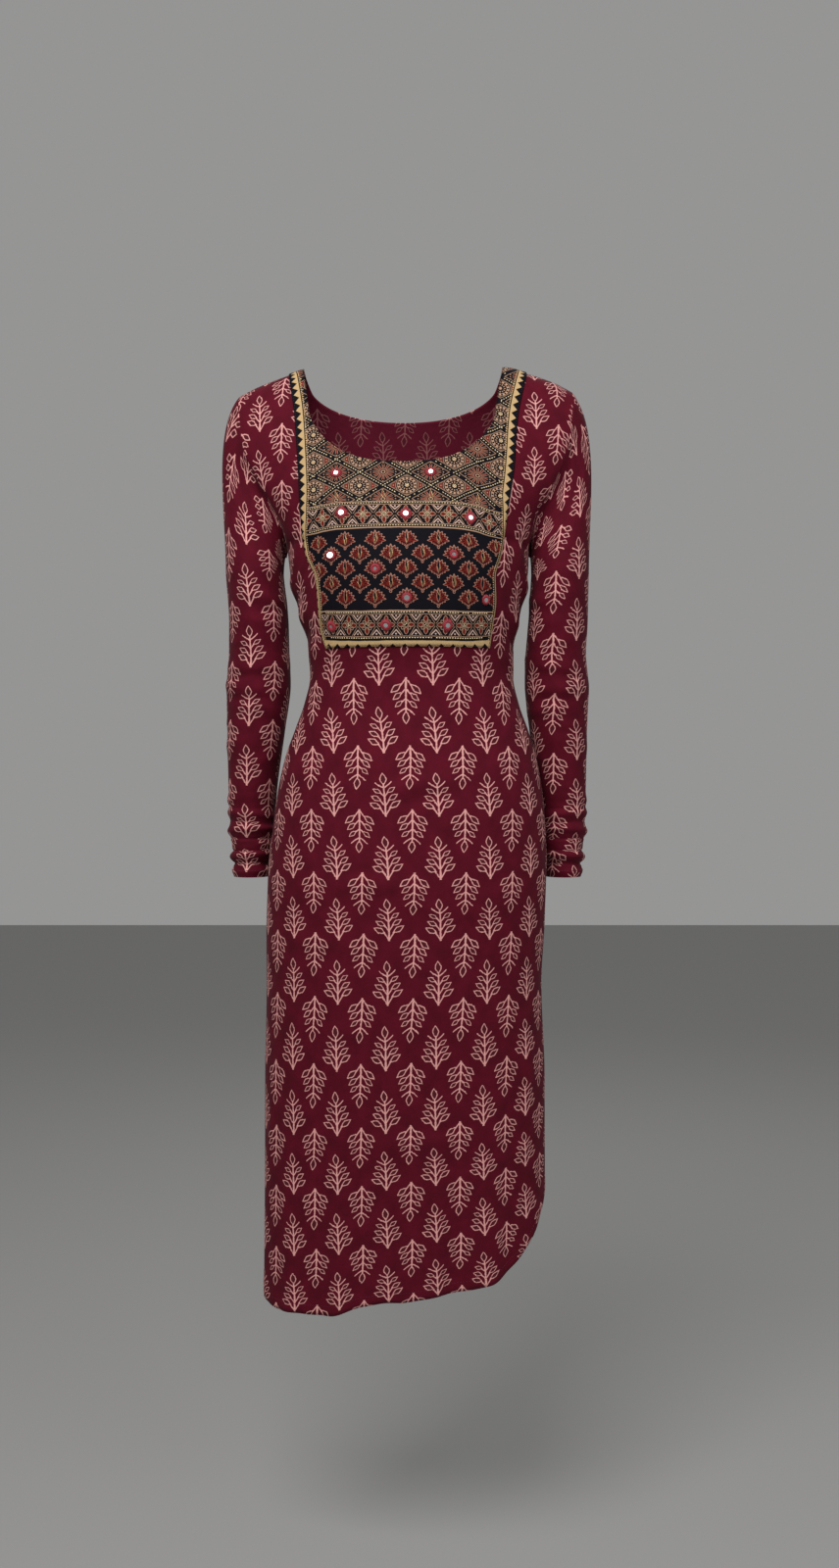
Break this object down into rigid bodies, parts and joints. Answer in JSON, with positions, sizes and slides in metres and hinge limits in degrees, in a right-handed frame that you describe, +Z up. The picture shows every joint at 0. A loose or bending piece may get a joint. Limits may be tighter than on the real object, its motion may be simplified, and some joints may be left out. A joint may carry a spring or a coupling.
{
  "type": "kurta tunic",
  "caption": "Long-sleeved kurta tunic as worn, hollow, with a scoop neck, printed bib yoke with small mirrors, gathered wrists, side slits and a rounded hem corner.",
  "frame": {"origin": "midway between the two points where the shoulders meet the neck, where the wearer's shoulders hold the garment up", "axes": "+Z up along the length, -Y towards the front, +X to the viewer's right of the front"},
  "size_m": [0.4427, 0.2406, 1.1176],
  "materials": {
    "printed_cotton": "soft maroon cotton with a pale block-printed sprig",
    "yoke_cotton": "black cotton with a fine ochre and red print",
    "mirror": "small sewn-on mirror glass",
    "gold_thread": "gold beads and metallic thread",
    "red_thread": "red embroidery thread",
    "sewing_thread": "maroon sewing thread"
  },
  "bodies": {
    "root": {"front": "printed_cotton", "back": "printed_cotton", "sleeve_left": "printed_cotton", "sleeve_right": "printed_cotton", "yoke": "yoke_cotton", "mirror_01": "mirror", "mirror_02": "mirror", "mirror_03": "mirror", "mirror_04": "mirror", "mirror_05": "mirror", "mirror_06": "mirror", "mirror_07": "mirror", "mirror_08": "mirror", "mirror_09": "mirror", "mirror_10": "mirror", "mirror_11": "mirror", "mirror_12": "mirror", "mirror_13": "mirror"}
  },
  "joints": []
}
